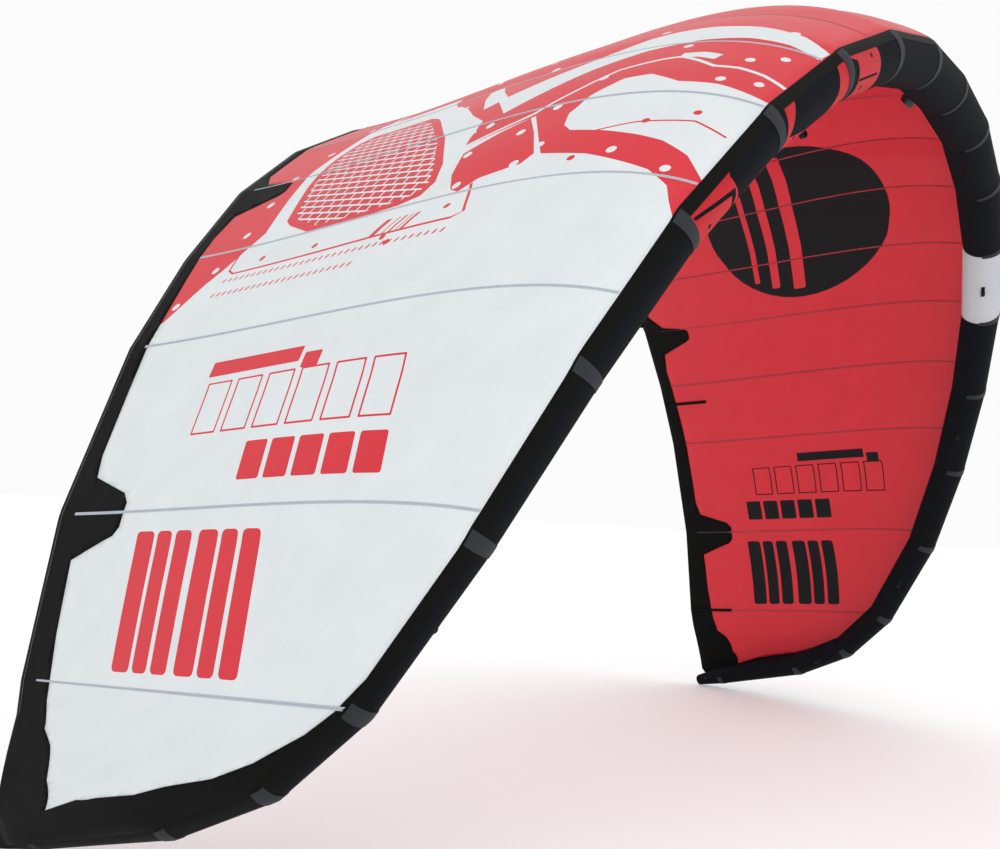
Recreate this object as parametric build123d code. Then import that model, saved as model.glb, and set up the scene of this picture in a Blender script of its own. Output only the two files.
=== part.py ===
from build123d import *
import math
import os

# Inflatable kite without struts: a leading-edge tube of 24 mitred fabric segments, a canopy of 21
# sewn panels behind it, a trailing-edge band, wingtip patches, battens, an inflation valve and line
# loops.  Millimetres, +X along the span, +Y from leading to trailing edge, +Z up.  The model is
# designed about the centre of the tube and moved at the end, so that its box stands on z = 0.

# ---- driving dimensions: leading-edge tube, from the centre joint outwards ----
SEGMENT_LENGTHS = [296, 299, 302, 328, 347, 359, 369, 380, 242, 253, 403, 133]
ARCH_ANGLES = [5, 17, 28, 39, 50.5, 61, 69, 75, 76, 71, 72, 72]
SWEEP_ANGLES = [0, 3.5, 6.2, 10, 13.8, 17, 21, 29.3, 44.8, 62.5, 74.2, 71.8]
TUBE_DIAMETERS = [144, 142, 140, 136, 131, 124, 116, 108, 101, 97, 93, 78, 48]
CASING_WALL = 1.0
BLADDER_WALL = 0.8
BLADDER_GAP = 0.4

# ---- driving dimensions: canopy ----
PANEL_SEAMS = [0.3, 1.0, 1.7, 2.4, 3.2, 4.0, 4.75, 5.55, 6.87, 8.0]
TRAILING_WIDTHS = [100, 233, 237, 242, 276, 271, 290, 304, 456, 388, 315]
TRAILING_ANGLES = [2, 8, 15, 22, 31, 42, 53.5, 60, 69, 80, 82]
CENTRE_CHORD = 1605
TIP_CHORD_CUT = 85
TRAILING_RISE = 76
TIP_LIFT = 0.75
TIP_LIFT_START = 9
CANOPY_THICKNESS = 1.0
CANOPY_LIFT = 0.3
ENTRY_ANGLE = 30
ENTRY_ANGLE_CENTRE = 8
CAMBER_REACH = 0.20
CAMBER_REACH_CENTRE = 0.12
CAMBER_FADE = 5.5
TIP_REACH = 0.9
EXIT_ANGLE = 1
EXIT_REACH = 0.42
BAND_WIDTH = 46
TIP_END = 11.65
CORNER_START = 10.9
CORNER_EDGE = 0.03
CORNER_GROWTH = 0.62
CORNER_POWER = 2.2

# ---- driving dimensions: small parts ----
STRIP_WIDTH = 25
STRIP_THICKNESS = 1.0
STRIP_OFFSET = 0.3
STRIP_START_MARGIN = 5
STRIP_END_ANGLE = 172
BATTEN_SEAMS = [1, 5, 8]
BATTEN_LENGTH = 200
BATTEN_INSET = 12
BATTEN_GAP = 0.9
BATTEN_WIDTH = 8
BATTEN_THICKNESS = 2
PATCH_HALF_WIDTH = 140
PATCH_LONG = 250
PATCH_SHORT = 90
PATCH_THICKNESS = 1.0
PATCH_ROWS = 5
BAND_ROWS = 3
SEAT_GAP = 0.5
VALVE_STATION = 0.4
VALVE_TILT = 40
VALVE_FLANGE = 60
VALVE_BARREL = 34
VALVE_BORE = 24
VALVE_FIT = 0.3
RUNNING_FIT = 0.08
FLANGE_DEPTH = 30
BARREL_BELOW_FLANGE = 4
COLLAR_DIAMETER = 46
COLLAR_HEIGHT = 11
LIP_DIAMETER = 38
LIP_HEIGHT = 2
GRIP_NOTCH_RADIUS = 1.2
GRIP_NOTCH_STEP = 20
EAR_LENGTH = 6
EAR_WIDTH = 5
EAR_GAP = 7
EAR_SETBACK = 1.5
CAP_DIAMETER = 38
CAP_HEIGHT = 4
CAP_RIM_DEPTH = 2
CAP_RIM_INSET = 1.5
CAP_TAB_LENGTH = 7
CAP_TAB_WIDTH = 12
CAP_TAB_THICKNESS = 2.4
PIN_DIAMETER = 2.5
FLAP_DIAMETER = 28
FLAP_THICKNESS = 1.2
FLAP_BEAD_DIAMETER = 2.4
FLAP_BEAD_LENGTH = 10
LOOP_STATIONS = [3, 5, 7, 9]
LOOP_ANGLE = 165
LOOP_EYE = 14
LOOP_WEBBING = 2
LOOP_WIDTH = 12
LOOP_TAB = 44
LOOP_TILT_REACH = 0.1
BACK_LOOP_STATION = 11.45
BACK_LOOP_ANGLE = 180
OUTWARD_LEAN = 1400
PATCH_END = 0.999
PATCH_ROOM = 1.1

JOINTS = len(SEGMENT_LENGTHS)
SECTIONS = sorted([0, CORNER_START] + PANEL_SEAMS + [k for k in range(1, 11) if k not in PANEL_SEAMS])
SIDES = {"right": 1, "left": -1}


def unit(v):
    return v * (1 / v.length)


def tube_points():
    """Centres of the tube's joints, from the middle of the kite to the right tip."""
    points = [Vector(0, 0, 0)]
    for length, arch, sweep in zip(SEGMENT_LENGTHS, ARCH_ANGLES, SWEEP_ANGLES):
        a, s = math.radians(arch), math.radians(sweep)
        step = Vector(math.cos(s) * math.cos(a), math.sin(s), -math.cos(s) * math.sin(a))
        points.append(points[-1] + step * length)
    return points


def trailing_points():
    """Trailing-edge points at the centre, at each panel seam and at the tip."""
    stations = [0] + PANEL_SEAMS + [JOINTS]
    x, z = 0, TRAILING_RISE
    points = []
    for k, station in enumerate(stations):
        cut = TIP_CHORD_CUT * (station / JOINTS) ** 2
        points.append(Vector(x, CENTRE_CHORD - cut, z))
        if k < len(TRAILING_WIDTHS):
            a = math.radians(TRAILING_ANGLES[k])
            x += TRAILING_WIDTHS[k] * math.cos(a)
            z -= TRAILING_WIDTHS[k] * math.sin(a)
    return points


TUBE = tube_points()
TRAILING = trailing_points()


def split(station):
    """Segment index and share of that segment for a station counted in joints."""
    k = min(int(station), JOINTS - 1)
    return k, station - k


def tube_centre(station):
    k, share = split(station)
    return TUBE[k] * (1 - share) + TUBE[k + 1] * share


def tube_radius(station):
    k, share = split(station)
    return (TUBE_DIAMETERS[k] * (1 - share) + TUBE_DIAMETERS[k + 1] * share) / 2


def tube_direction(station):
    """Direction of the tube; at a joint the mean of both segments, which is the mitre's normal."""
    k, share = split(station)
    here = unit(TUBE[k + 1] - TUBE[k])
    if share > 1e-6:
        return here
    if k == 0:
        return Vector(1, 0, 0)
    return unit(here + unit(TUBE[k] - TUBE[k - 1]))


def trailing_point(station):
    stations = [0] + PANEL_SEAMS + [JOINTS]
    for k in range(len(stations) - 1):
        if station <= stations[k + 1] + 1e-9:
            share = (station - stations[k]) / (stations[k + 1] - stations[k])
            return TRAILING[k] * (1 - share) + TRAILING[k + 1] * share
    return TRAILING[-1]


def tube_frame(station):
    """Centre, tube direction, aft direction and outward direction of a tube section."""
    centre = tube_centre(station)
    along = tube_direction(station)
    chord = trailing_point(station) - centre
    aft = unit(chord - along * chord.dot(along))
    out = unit(aft.cross(along))
    if out.dot(centre + Vector(0, -centre.Y, OUTWARD_LEAN)) < 0:
        out = out * -1
    return centre, along, aft, out


def entry_angle(station):
    """Angle in front of outward where the canopy meets the tube, in degrees."""
    return ENTRY_ANGLE + ENTRY_ANGLE_CENTRE * max(0, 1 - station / CAMBER_FADE)


def profile(station):
    """Control points of the canopy's cubic section, and its outward normal."""
    centre, along, aft, out = tube_frame(station)
    fade = max(0, 1 - station / CAMBER_FADE)
    entry = math.radians(entry_angle(station))
    reach = CAMBER_REACH + CAMBER_REACH_CENTRE * fade
    leave = math.radians(EXIT_ANGLE)
    touch = tube_radius(station) + CANOPY_LIFT + CANOPY_THICKNESS
    start = centre + (out * math.cos(entry) - aft * math.sin(entry)) * touch
    lift = TIP_LIFT * max(0, station - TIP_LIFT_START) / (JOINTS - TIP_LIFT_START)
    end = trailing_point(station) + out * tube_radius(station) * lift
    length = (end - start).length
    chord = (end - start) * (1 / length)
    normal = unit(out - chord * out.dot(chord))
    first = max(length * reach, tube_radius(station) * TIP_REACH)
    up = start + (chord * math.cos(entry) + normal * math.sin(entry)) * first
    down = end + (normal * math.sin(leave) - chord * math.cos(leave)) * length * EXIT_REACH
    return [start, up, down, end], normal, length


def cut_curve(points, start, end):
    """Control points of the part of a cubic between two parameters."""
    def half(p, t):
        a = [p[i] * (1 - t) + p[i + 1] * t for i in range(3)]
        b = [a[i] * (1 - t) + a[i + 1] * t for i in range(2)]
        c = b[0] * (1 - t) + b[1] * t
        return [p[0], a[0], b[0], c], [c, b[1], a[2], p[3]]
    left, _ = half(points, end)
    _, right = half(left, start / end)
    return right


def section_face(points, normal, top, thickness):
    """Thin section below a cubic curve, sunk by top below it and laid in one plane."""
    sideways = unit((points[-1] - points[0]).cross(normal))
    points = [p - sideways * (p - points[0]).dot(sideways) for p in points]
    upper = [p - normal * top for p in points]
    lower = [p - normal * (top + thickness) for p in points]
    edges = [Bezier(*upper), Line(upper[-1], lower[-1]), Bezier(*lower[::-1]), Line(lower[0], upper[0])]
    return make_face(Wire(edges))


def skin_face(station, start, end, top=0.0, thickness=CANOPY_THICKNESS):
    """Thin section of the skin between two shares of the profile, sunk by top below its surface."""
    points, normal, _ = profile(station)
    part = cut_curve(points, start, end) if (start, end) != (0, 1) else points
    return section_face(part, normal, top, thickness)


def blended(a, b, share):
    """Control points and normal between two sections, on the straight lines that join them."""
    points = [p * (1 - share) + q * share for p, q in zip(a[0], b[0])]
    return points, a[1] * (1 - share) + b[1] * share


def canopy_section(station):
    """Control points, normal and length of the sewn canopy at any station."""
    low = max(m for m in SECTIONS if m <= station + 1e-9)
    high = min(m for m in SECTIONS if m >= station - 1e-9)
    share = 0 if high == low else (station - low) / (high - low)
    points, normal = blended(profile(low), profile(high), share)
    return points, normal, profile(low)[2] * (1 - share) + profile(high)[2] * share


def band_share(station):
    return 1 - BAND_WIDTH / profile(station)[2]


def corner_share(station):
    """Share of the profile that the black wingtip strip covers beside the tube."""
    reach = max(0, station - PANEL_SEAMS[-1]) / (CORNER_START - PANEL_SEAMS[-1])
    return CORNER_EDGE + CORNER_GROWTH * reach ** CORNER_POWER


def skin(sections):
    return loft([skin_face(*s) for s in sections], ruled=True)


def stations_between(first, last):
    inner = [k for k in range(JOINTS) if first + 0.02 < k < last - 0.02]
    return [first] + inner + [last]


def tube_loft(stations, inset):
    faces = []
    for s in stations:
        centre, along, aft, out = tube_frame(s)
        plane = Plane(origin=centre, x_dir=aft, z_dir=along)
        faces.append(plane * Circle(tube_radius(s) - inset))
    return loft(faces, ruled=True)


def on_both_sides(shape, side):
    return shape if side > 0 else mirror(shape, about=Plane.YZ)


parts = {}

# ---- leading-edge casing: one hollow mitred fabric segment between each pair of joints ----
end_inset = CASING_WALL / SEGMENT_LENGTHS[-1]
for k in range(JOINTS):
    inner_end = k + 1 if k < JOINTS - 1 else k + 1 - end_inset
    shell = tube_loft([k, k + 1], 0) - tube_loft([k, inner_end], CASING_WALL)
    for name, side in SIDES.items():
        parts[f"tube_segment_{name}_{k + 1:02d}"] = on_both_sides(shell, side)

# ---- bladder: one closed inflatable tube that fills the casing from tip to tip ----
skin_inset = CASING_WALL + BLADDER_GAP
bladder_end = JOINTS - 4 * end_inset
half_outer = tube_loft(list(range(JOINTS)) + [bladder_end], skin_inset)
half_inner = tube_loft(list(range(JOINTS)) + [bladder_end - end_inset], skin_inset + BLADDER_WALL)
half_bladder = half_outer - half_inner
bladder = half_bladder + mirror(half_bladder, about=Plane.YZ)

# ---- bumper strips: a strap over the front of every tube joint ----
strips = []
for k in range(JOINTS):
    reach = STRIP_WIDTH / 2
    before = k - reach / SEGMENT_LENGTHS[max(k - 1, 0)]
    after = k + reach / SEGMENT_LENGTHS[k]
    spots = [0, after] if k == 0 else [before, k, after]
    ring = tube_loft(spots, -STRIP_OFFSET - STRIP_THICKNESS) - tube_loft(spots, -STRIP_OFFSET)
    centre, along, aft, out = tube_frame(k)
    strip_start = entry_angle(k) + STRIP_START_MARGIN
    a = math.radians((strip_start + STRIP_END_ANGLE) / 2)
    face_dir = out * math.cos(a) - aft * math.sin(a)
    size = 4 * tube_radius(k)
    depth = tube_radius(k) * math.cos(math.radians((STRIP_END_ANGLE - strip_start) / 2))
    keep = Plane(origin=centre + face_dir * depth, x_dir=along, z_dir=face_dir)
    strip = ring & (keep * Box(size, size, size, align=(Align.CENTER, Align.CENTER, Align.MIN)))
    if k == 0:
        strips.append(strip + mirror(strip, about=Plane.YZ))
    else:
        strips += [strip, mirror(strip, about=Plane.YZ)]

# ---- canopy: 21 panels, each straight along the span between seams and tube joints ----
edges = PANEL_SEAMS + [CORNER_START]
centre_spots = [0, PANEL_SEAMS[0]]
half_centre = skin([(s, 0, band_share(s)) for s in centre_spots])
parts["canopy_panel_centre"] = half_centre + mirror(half_centre, about=Plane.YZ)
for k in range(len(PANEL_SEAMS)):
    spots = stations_between(edges[k], edges[k + 1])
    tip_panel = k == len(PANEL_SEAMS) - 1
    panel = skin([(s, corner_share(s) if tip_panel else 0, band_share(s)) for s in spots])
    for name, side in SIDES.items():
        parts[f"canopy_panel_{name}_{k + 1:02d}"] = on_both_sides(panel, side)

# ---- trailing-edge band and the wingtip patch that runs forward along the tube ----
band_faces = []
for low, high in zip(SECTIONS, SECTIONS[1:]):
    if high - low < 0.02:
        continue
    ends = []
    for s in (low, high):
        points, normal, _ = profile(s)
        ends.append((cut_curve(points, band_share(s), 1), normal))
    for row in range(BAND_ROWS):
        points, normal = blended(ends[0], ends[1], row / BAND_ROWS)
        band_faces.append(section_face(points, normal, 0, CANOPY_THICKNESS))
band_faces.append(section_face(*ends[1], 0, CANOPY_THICKNESS))
band = loft(band_faces, ruled=True)
front = skin([(s, 0, corner_share(s)) for s in stations_between(PANEL_SEAMS[-1], CORNER_START)])
corner = skin([(s, 0, 1) for s in (CORNER_START, 11, TIP_END)])
patch = front + corner
for name, side in SIDES.items():
    parts[f"trailing_band_{name}"] = on_both_sides(band, side)
    parts[f"wingtip_patch_{name}"] = on_both_sides(patch, side)

# ---- batten patches and battens under the trailing edge ----
patches, battens = [], []
for k in BATTEN_SEAMS:
    seam = PANEL_SEAMS[k]
    before, after = PANEL_SEAMS[k - 1], edges[k + 1]
    span_before = (trailing_point(seam) - trailing_point(before)).length
    span_after = (trailing_point(after) - trailing_point(seam)).length
    room = PATCH_HALF_WIDTH * PATCH_ROOM
    near = seam - (seam - before) * PATCH_HALF_WIDTH / max(span_before, room)
    far = seam + (after - seam) * PATCH_HALF_WIDTH / max(span_after, room)
    top = CANOPY_THICKNESS + SEAT_GAP
    rows = []
    for row in range(PATCH_ROWS):
        share = row / PATCH_ROWS
        width = PATCH_SHORT + (PATCH_LONG - PATCH_SHORT) * share
        rows.append((near + (seam - near) * share, width))
        rows.append((far + (seam - far) * share, width))
    rows.append((seam, PATCH_LONG))
    crossed = [m for m in SECTIONS if near + 0.02 < m < far - 0.02 and abs(m - seam) > 0.02]
    for m in crossed:
        edge = near if m < seam else far
        rows.append((m, PATCH_SHORT + (PATCH_LONG - PATCH_SHORT) * (m - edge) / (seam - edge)))
    cloth_faces = []
    for s, width in sorted(rows):
        points, normal, length = canopy_section(s)
        part = cut_curve(points, 1 - width / length, PATCH_END)
        cloth_faces.append(section_face(part, normal, top, PATCH_THICKNESS))
    cloth = loft(cloth_faces, ruled=True)
    length = profile(seam)[2]
    sunk = top + PATCH_THICKNESS + BATTEN_GAP
    ends = [1 - (BATTEN_INSET + BATTEN_LENGTH) / length, 1 - BATTEN_INSET / length]
    side_view = skin_face(seam, *ends, sunk, BATTEN_THICKNESS)
    stick = extrude(side_view, amount=BATTEN_WIDTH / 2, both=True)
    patches += [cloth, mirror(cloth, about=Plane.YZ)]
    battens += [stick, mirror(stick, about=Plane.YZ)]

# ---- inflation valve on the back of the tube, left of the centre ----
v_centre, v_along, v_aft, v_out = tube_frame(VALVE_STATION)
tilt = math.radians(VALVE_TILT)


def left(v):
    return Vector(-v.X, v.Y, v.Z)


valve_dir = left(v_aft * math.cos(tilt) - v_out * math.sin(tilt))
valve_side = left(v_along) * -1
valve_plane = Plane(origin=left(v_centre), x_dir=valve_side, z_dir=valve_dir)
tube_top = tube_radius(VALVE_STATION)


def on_valve(shape, height, x=0.0, y=0.0):
    """Shape placed on the valve's axis, at a height above the tube's surface."""
    return valve_plane * (Pos(x, y, tube_top + height) * shape)


def disc(diameter, bottom, height):
    upright = Cylinder(diameter / 2, height, align=(Align.CENTER, Align.CENTER, Align.MIN))
    return on_valve(upright, bottom)


def block(length, width, bottom, height, x=0.0, y=0.0):
    upright = Box(length, width, height, align=(Align.CENTER, Align.CENTER, Align.MIN))
    return on_valve(upright, bottom, x, y)


barrel_bottom = -skin_inset - BLADDER_WALL - BARREL_BELOW_FLANGE
collar_bottom = LIP_HEIGHT / 2
lip_bottom = collar_bottom + COLLAR_HEIGHT + VALVE_FIT
barrel_top = lip_bottom + LIP_HEIGHT
barrel_height = barrel_top - barrel_bottom
flange = bladder & disc(VALVE_FLANGE, -FLANGE_DEPTH, 2 * FLANGE_DEPTH)
bladder = bladder - disc(VALVE_FLANGE + 2 * VALVE_FIT, -FLANGE_DEPTH, 2 * FLANGE_DEPTH)
valve_base = flange + disc(VALVE_BARREL, barrel_bottom, barrel_height)
valve_base += disc(LIP_DIAMETER, lip_bottom, LIP_HEIGHT)
valve_base -= disc(VALVE_BORE, barrel_bottom - 1, barrel_height + 2)
pierced = "tube_segment_left_01"
parts[pierced] -= disc(VALVE_BARREL + 2 * VALVE_FIT, -FLANGE_DEPTH, 2 * FLANGE_DEPTH)

# ---- valve collar, with its two ears, grip notches and hinge pin ----
ear_x = COLLAR_DIAMETER / 2 + EAR_SETBACK
ear_y = (EAR_GAP + EAR_WIDTH) / 2
ear_bottom = collar_bottom + COLLAR_HEIGHT / 3
cap_bottom = barrel_top + VALVE_FIT
pin_height = cap_bottom + CAP_HEIGHT / 2
collar = disc(COLLAR_DIAMETER, collar_bottom, COLLAR_HEIGHT)
for y in (-ear_y, ear_y):
    collar += block(EAR_LENGTH, EAR_WIDTH, ear_bottom, pin_height + PIN_DIAMETER - ear_bottom, ear_x, y)
for angle in range(30, 331, GRIP_NOTCH_STEP):
    notch_x = COLLAR_DIAMETER / 2 * math.cos(math.radians(angle))
    notch_y = COLLAR_DIAMETER / 2 * math.sin(math.radians(angle))
    notch = Cylinder(GRIP_NOTCH_RADIUS, COLLAR_HEIGHT + 2)
    collar -= on_valve(notch, collar_bottom + COLLAR_HEIGHT / 2, notch_x, notch_y)
collar -= disc(VALVE_BARREL + 2 * RUNNING_FIT, collar_bottom - 1, COLLAR_HEIGHT + 2)
pin_length = EAR_GAP + 2 * EAR_WIDTH
lying = Rot(90, 0, 0)
pin = on_valve(lying * Cylinder(PIN_DIAMETER / 2, pin_length), pin_height, ear_x)
collar -= on_valve(lying * Cylinder(PIN_DIAMETER / 2, pin_length + 2), pin_height, ear_x)

# ---- valve cap with its hinge arm, rim and pull tab, and the flap inside the barrel's foot ----
cap = disc(CAP_DIAMETER, cap_bottom, CAP_HEIGHT)
arm_end = ear_x + PIN_DIAMETER
arm = arm_end - CAP_DIAMETER / 2 + EAR_LENGTH
cap += block(arm, EAR_GAP - 2 * VALVE_FIT, cap_bottom, CAP_HEIGHT, arm_end - arm / 2)
cap += disc(VALVE_BORE - 2 * CAP_RIM_INSET, cap_bottom - CAP_RIM_DEPTH, CAP_RIM_DEPTH)
tab_bottom = cap_bottom + (CAP_HEIGHT - CAP_TAB_THICKNESS) / 2
cap += block(CAP_TAB_LENGTH, CAP_TAB_WIDTH, tab_bottom, CAP_TAB_THICKNESS, -CAP_DIAMETER / 2 - 1)
cap -= on_valve(lying * Cylinder(PIN_DIAMETER / 2 + RUNNING_FIT, pin_length), pin_height, ear_x)
flap_top = barrel_bottom - VALVE_FIT
flap = disc(FLAP_DIAMETER, flap_top - FLAP_THICKNESS, FLAP_THICKNESS)
bead = Cylinder(FLAP_BEAD_DIAMETER / 2, FLAP_BEAD_LENGTH)
flap += on_valve(lying * bead, flap_top - FLAP_BEAD_DIAMETER / 2, FLAP_DIAMETER / 2)

parts["bladder"] = bladder
parts["valve_base"] = valve_base
parts["valve_collar"] = collar
parts["valve_hinge_pin"] = pin
parts["valve_cap"] = cap
parts["valve_flap"] = flap

# ---- webbing loops for the front lines along the tube and for the back lines at the tips ----


def loop_at(station, angle):
    centre, along, aft, out = tube_frame(station)
    a = math.radians(angle)
    radial = out * math.cos(a) - aft * math.sin(a)
    near, far = station - LOOP_TILT_REACH, station + LOOP_TILT_REACH
    taper = (tube_radius(near) - tube_radius(far)) / (tube_centre(far) - tube_centre(near)).length
    along, radial = unit(along - radial * taper), unit(radial + along * taper)
    plane = Plane(origin=centre, x_dir=along, z_dir=unit(along.cross(radial)))
    base = tube_radius(station) + STRIP_OFFSET
    eye = LOOP_EYE / 2
    ring_y = base + LOOP_WEBBING / 2 + eye + LOOP_WEBBING / 2
    up = 1 if plane.y_dir.dot(radial) > 0 else -1
    tab = Pos(0, up * (base + LOOP_WEBBING / 2), 0) * Rectangle(LOOP_TAB, LOOP_WEBBING)
    eye_spot = Pos(0, up * ring_y, 0)
    outline = tab + eye_spot * Circle(eye + LOOP_WEBBING) - eye_spot * Circle(eye)
    keep = Pos(0, up * (base + 50), 0) * Rectangle(100, 100)
    return plane * extrude(outline & keep, amount=LOOP_WIDTH / 2, both=True)


front_loops = []
for station in LOOP_STATIONS:
    loop = loop_at(station + 0.5, LOOP_ANGLE)
    front_loops += [loop, mirror(loop, about=Plane.YZ)]
back_loop = loop_at(BACK_LOOP_STATION, BACK_LOOP_ANGLE)
parts["bumper_strips"] = Compound(children=strips)
parts["batten_patches"] = Compound(children=patches)
parts["battens"] = Compound(children=battens)
parts["front_line_loops"] = Compound(children=front_loops)
parts["back_line_loops"] = Compound(children=[back_loop, mirror(back_loop, about=Plane.YZ)])

# ---- place the whole kite on z = 0 with its box centred, and write one file per part ----
boxes = [shape.bounding_box() for shape in parts.values()]
middle = (min(b.min.Y for b in boxes) + max(b.max.Y for b in boxes)) / 2
lowest = min(b.min.Z for b in boxes)
shift = Location((0, -middle, -lowest))
print("shift", shift.position)
os.makedirs("parts", exist_ok=True)
for name, shape in parts.items():
    export_step(shape.moved(shift), f"parts/{name}.step")
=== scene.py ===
import math
import bpy
import numpy as np
from mathutils import Matrix, Vector
from mathutils.geometry import delaunay_2d_cdt
from mathutils.kdtree import KDTree


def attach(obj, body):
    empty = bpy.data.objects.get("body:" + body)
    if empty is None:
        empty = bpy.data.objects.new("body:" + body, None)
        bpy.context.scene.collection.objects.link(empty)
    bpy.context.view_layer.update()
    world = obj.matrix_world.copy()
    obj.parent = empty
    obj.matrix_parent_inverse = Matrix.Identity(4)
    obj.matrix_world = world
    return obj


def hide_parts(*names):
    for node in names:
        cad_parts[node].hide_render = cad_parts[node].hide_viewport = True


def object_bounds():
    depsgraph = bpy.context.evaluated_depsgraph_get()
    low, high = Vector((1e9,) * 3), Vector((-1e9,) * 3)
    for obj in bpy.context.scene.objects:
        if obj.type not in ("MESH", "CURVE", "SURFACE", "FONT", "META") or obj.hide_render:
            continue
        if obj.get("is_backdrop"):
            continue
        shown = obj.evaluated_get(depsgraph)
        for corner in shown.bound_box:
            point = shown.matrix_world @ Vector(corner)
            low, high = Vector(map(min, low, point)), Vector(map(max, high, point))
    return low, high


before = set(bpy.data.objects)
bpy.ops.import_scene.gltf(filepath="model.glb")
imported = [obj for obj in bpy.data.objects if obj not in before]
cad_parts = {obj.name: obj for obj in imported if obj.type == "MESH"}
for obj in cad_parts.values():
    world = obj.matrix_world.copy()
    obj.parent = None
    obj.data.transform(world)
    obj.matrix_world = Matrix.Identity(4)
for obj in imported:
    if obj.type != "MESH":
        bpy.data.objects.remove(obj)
cad_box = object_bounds()

# ---------------------------------------------------------------------------------------------
# Camera, studio light and floor.  A low three-quarter view from in front of the left wingtip,
# with a large pale floor and broad soft lamps all round, so that the cloth shows its own colours.
# ---------------------------------------------------------------------------------------------
scene = bpy.context.scene
scene.view_settings.view_transform = "Standard"
scene.view_settings.look = "None"
view_right = Vector((0.57946, -0.81317, 0.05458)).normalized()
view_forward = Vector((0.80959, 0.58203, 0.07626)).normalized()
view_up = view_right.cross(view_forward).normalized()
view_right = view_forward.cross(view_up)
lens = bpy.data.cameras.new("studio_camera")
lens.lens = 38.88
lens.sensor_width = 36.0
lens.sensor_fit = "HORIZONTAL"
lens.clip_end = 200
camera = bpy.data.objects.new("studio_camera", lens)
turn = Matrix((view_right, view_up, -view_forward)).transposed()
camera.matrix_world = Matrix.Translation((-3.2148, -1.5559, 0.8200)) @ turn.to_4x4()
scene.collection.objects.link(camera)
scene.camera = camera

world = bpy.data.worlds.new("studio")
world.use_nodes = True
world.node_tree.nodes["Background"].inputs["Color"].default_value = (1.0, 1.0, 1.0, 1)
world.node_tree.nodes["Background"].inputs["Strength"].default_value = 0.97
scene.world = world
LAMPS = {
    "key": ((-5.5, -3.0, 6.0), 5.0, 45),
    "front": ((-1.5, -6.0, 2.5), 4.0, 20),
    "inside": ((-1.0, -1.2, 0.35), 1.6, 4),
}
for lamp_name, (spot, size, power) in LAMPS.items():
    lamp = bpy.data.lights.new("lamp_" + lamp_name, "AREA")
    lamp.shape = "DISK"
    lamp.size = size
    lamp.energy = power
    holder = bpy.data.objects.new("lamp_" + lamp_name, lamp)
    aim = Vector((0.6, 0.1, 1.2)) - Vector(spot)
    holder.matrix_world = Matrix.Translation(spot) @ aim.to_track_quat("-Z", "Y").to_matrix().to_4x4()
    scene.collection.objects.link(holder)

floor_mesh = bpy.data.meshes.new("studio_floor")
FLOOR_REACH = 60.0
corners = [(-1, -1), (1, -1), (1, 1), (-1, 1)]
floor_mesh.from_pydata([(x * FLOOR_REACH, y * FLOOR_REACH, -0.002) for x, y in corners], [], [(0, 1, 2, 3)])
floor = bpy.data.objects.new("studio_floor", floor_mesh)
scene.collection.objects.link(floor)
paint = bpy.data.materials.new("studio_floor")
paint.use_nodes = True
paint.node_tree.nodes["Principled BSDF"].inputs["Base Color"].default_value = (0.95, 0.955, 0.96, 1)
paint.node_tree.nodes["Principled BSDF"].inputs["Emission Color"].default_value = (0.93, 1.0, 1.0, 1)
paint.node_tree.nodes["Principled BSDF"].inputs["Emission Strength"].default_value = 0.12
paint.node_tree.nodes["Principled BSDF"].inputs["Roughness"].default_value = 0.9
floor_mesh.materials.append(paint)
floor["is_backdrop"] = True

# ---------------------------------------------------------------------------------------------
# Woven cloth, the stuff that nearly every piece of a kite is made of.  One shader group gives the
# crossed threads, a faint unevenness of the dye and the soft creases that handling leaves.
# ---------------------------------------------------------------------------------------------
weave = bpy.data.node_groups.new("woven_cloth", "ShaderNodeTree")
for socket, kind, start in (
    ("Vector", "NodeSocketVector", None),
    ("Colour", "NodeSocketColor", (0.5, 0.5, 0.5, 1)),
    ("Threads per metre", "NodeSocketFloat", 400.0),
    ("Thread relief", "NodeSocketFloat", 0.3),
    ("Thread shade", "NodeSocketFloat", 0.08),
    ("Crease size", "NodeSocketFloat", 3.0),
    ("Crease relief", "NodeSocketFloat", 0.5),
    ("Roughness", "NodeSocketFloat", 0.6),
):
    made = weave.interface.new_socket(socket, in_out="INPUT", socket_type=kind)
    if start is not None:
        made.default_value = start
for socket, kind in (("Colour", "NodeSocketColor"), ("Roughness", "NodeSocketFloat"), ("Height", "NodeSocketFloat")):
    weave.interface.new_socket(socket, in_out="OUTPUT", socket_type=kind)


def step_in(tree, kind, wires=(), **settings):
    """Adds a node to a tree, sets its fields, and wires or fills its inputs."""
    node = tree.nodes.new(kind)
    for field, value in settings.items():
        setattr(node, field, value)
    for socket, value in dict(wires).items():
        if isinstance(value, bpy.types.NodeSocket):
            tree.links.new(value, node.inputs[socket])
        else:
            node.inputs[socket].default_value = value
    return node


given = weave.nodes.new("NodeGroupInput").outputs
split = step_in(weave, "ShaderNodeSeparateXYZ", {"Vector": given["Vector"]})
threads = []
for axis in ("X", "Y"):
    turns = step_in(weave, "ShaderNodeMath", {0: split.outputs[axis], 1: given["Threads per metre"]}, operation="MULTIPLY")
    full = step_in(weave, "ShaderNodeMath", {0: turns.outputs[0], 1: 2 * math.pi}, operation="MULTIPLY")
    threads.append(step_in(weave, "ShaderNodeMath", {0: full.outputs[0]}, operation="SINE").outputs[0])
over = step_in(weave, "ShaderNodeMath", {0: threads[0], 1: threads[1]}, operation="MULTIPLY").outputs[0]
dye = step_in(weave, "ShaderNodeTexNoise", {"Vector": given["Vector"], "Scale": 9.0, "Detail": 4.0})
stretched = step_in(weave, "ShaderNodeVectorMath", {0: given["Vector"], 1: (2.2, 0.8, 1.0)}, operation="MULTIPLY")
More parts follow.
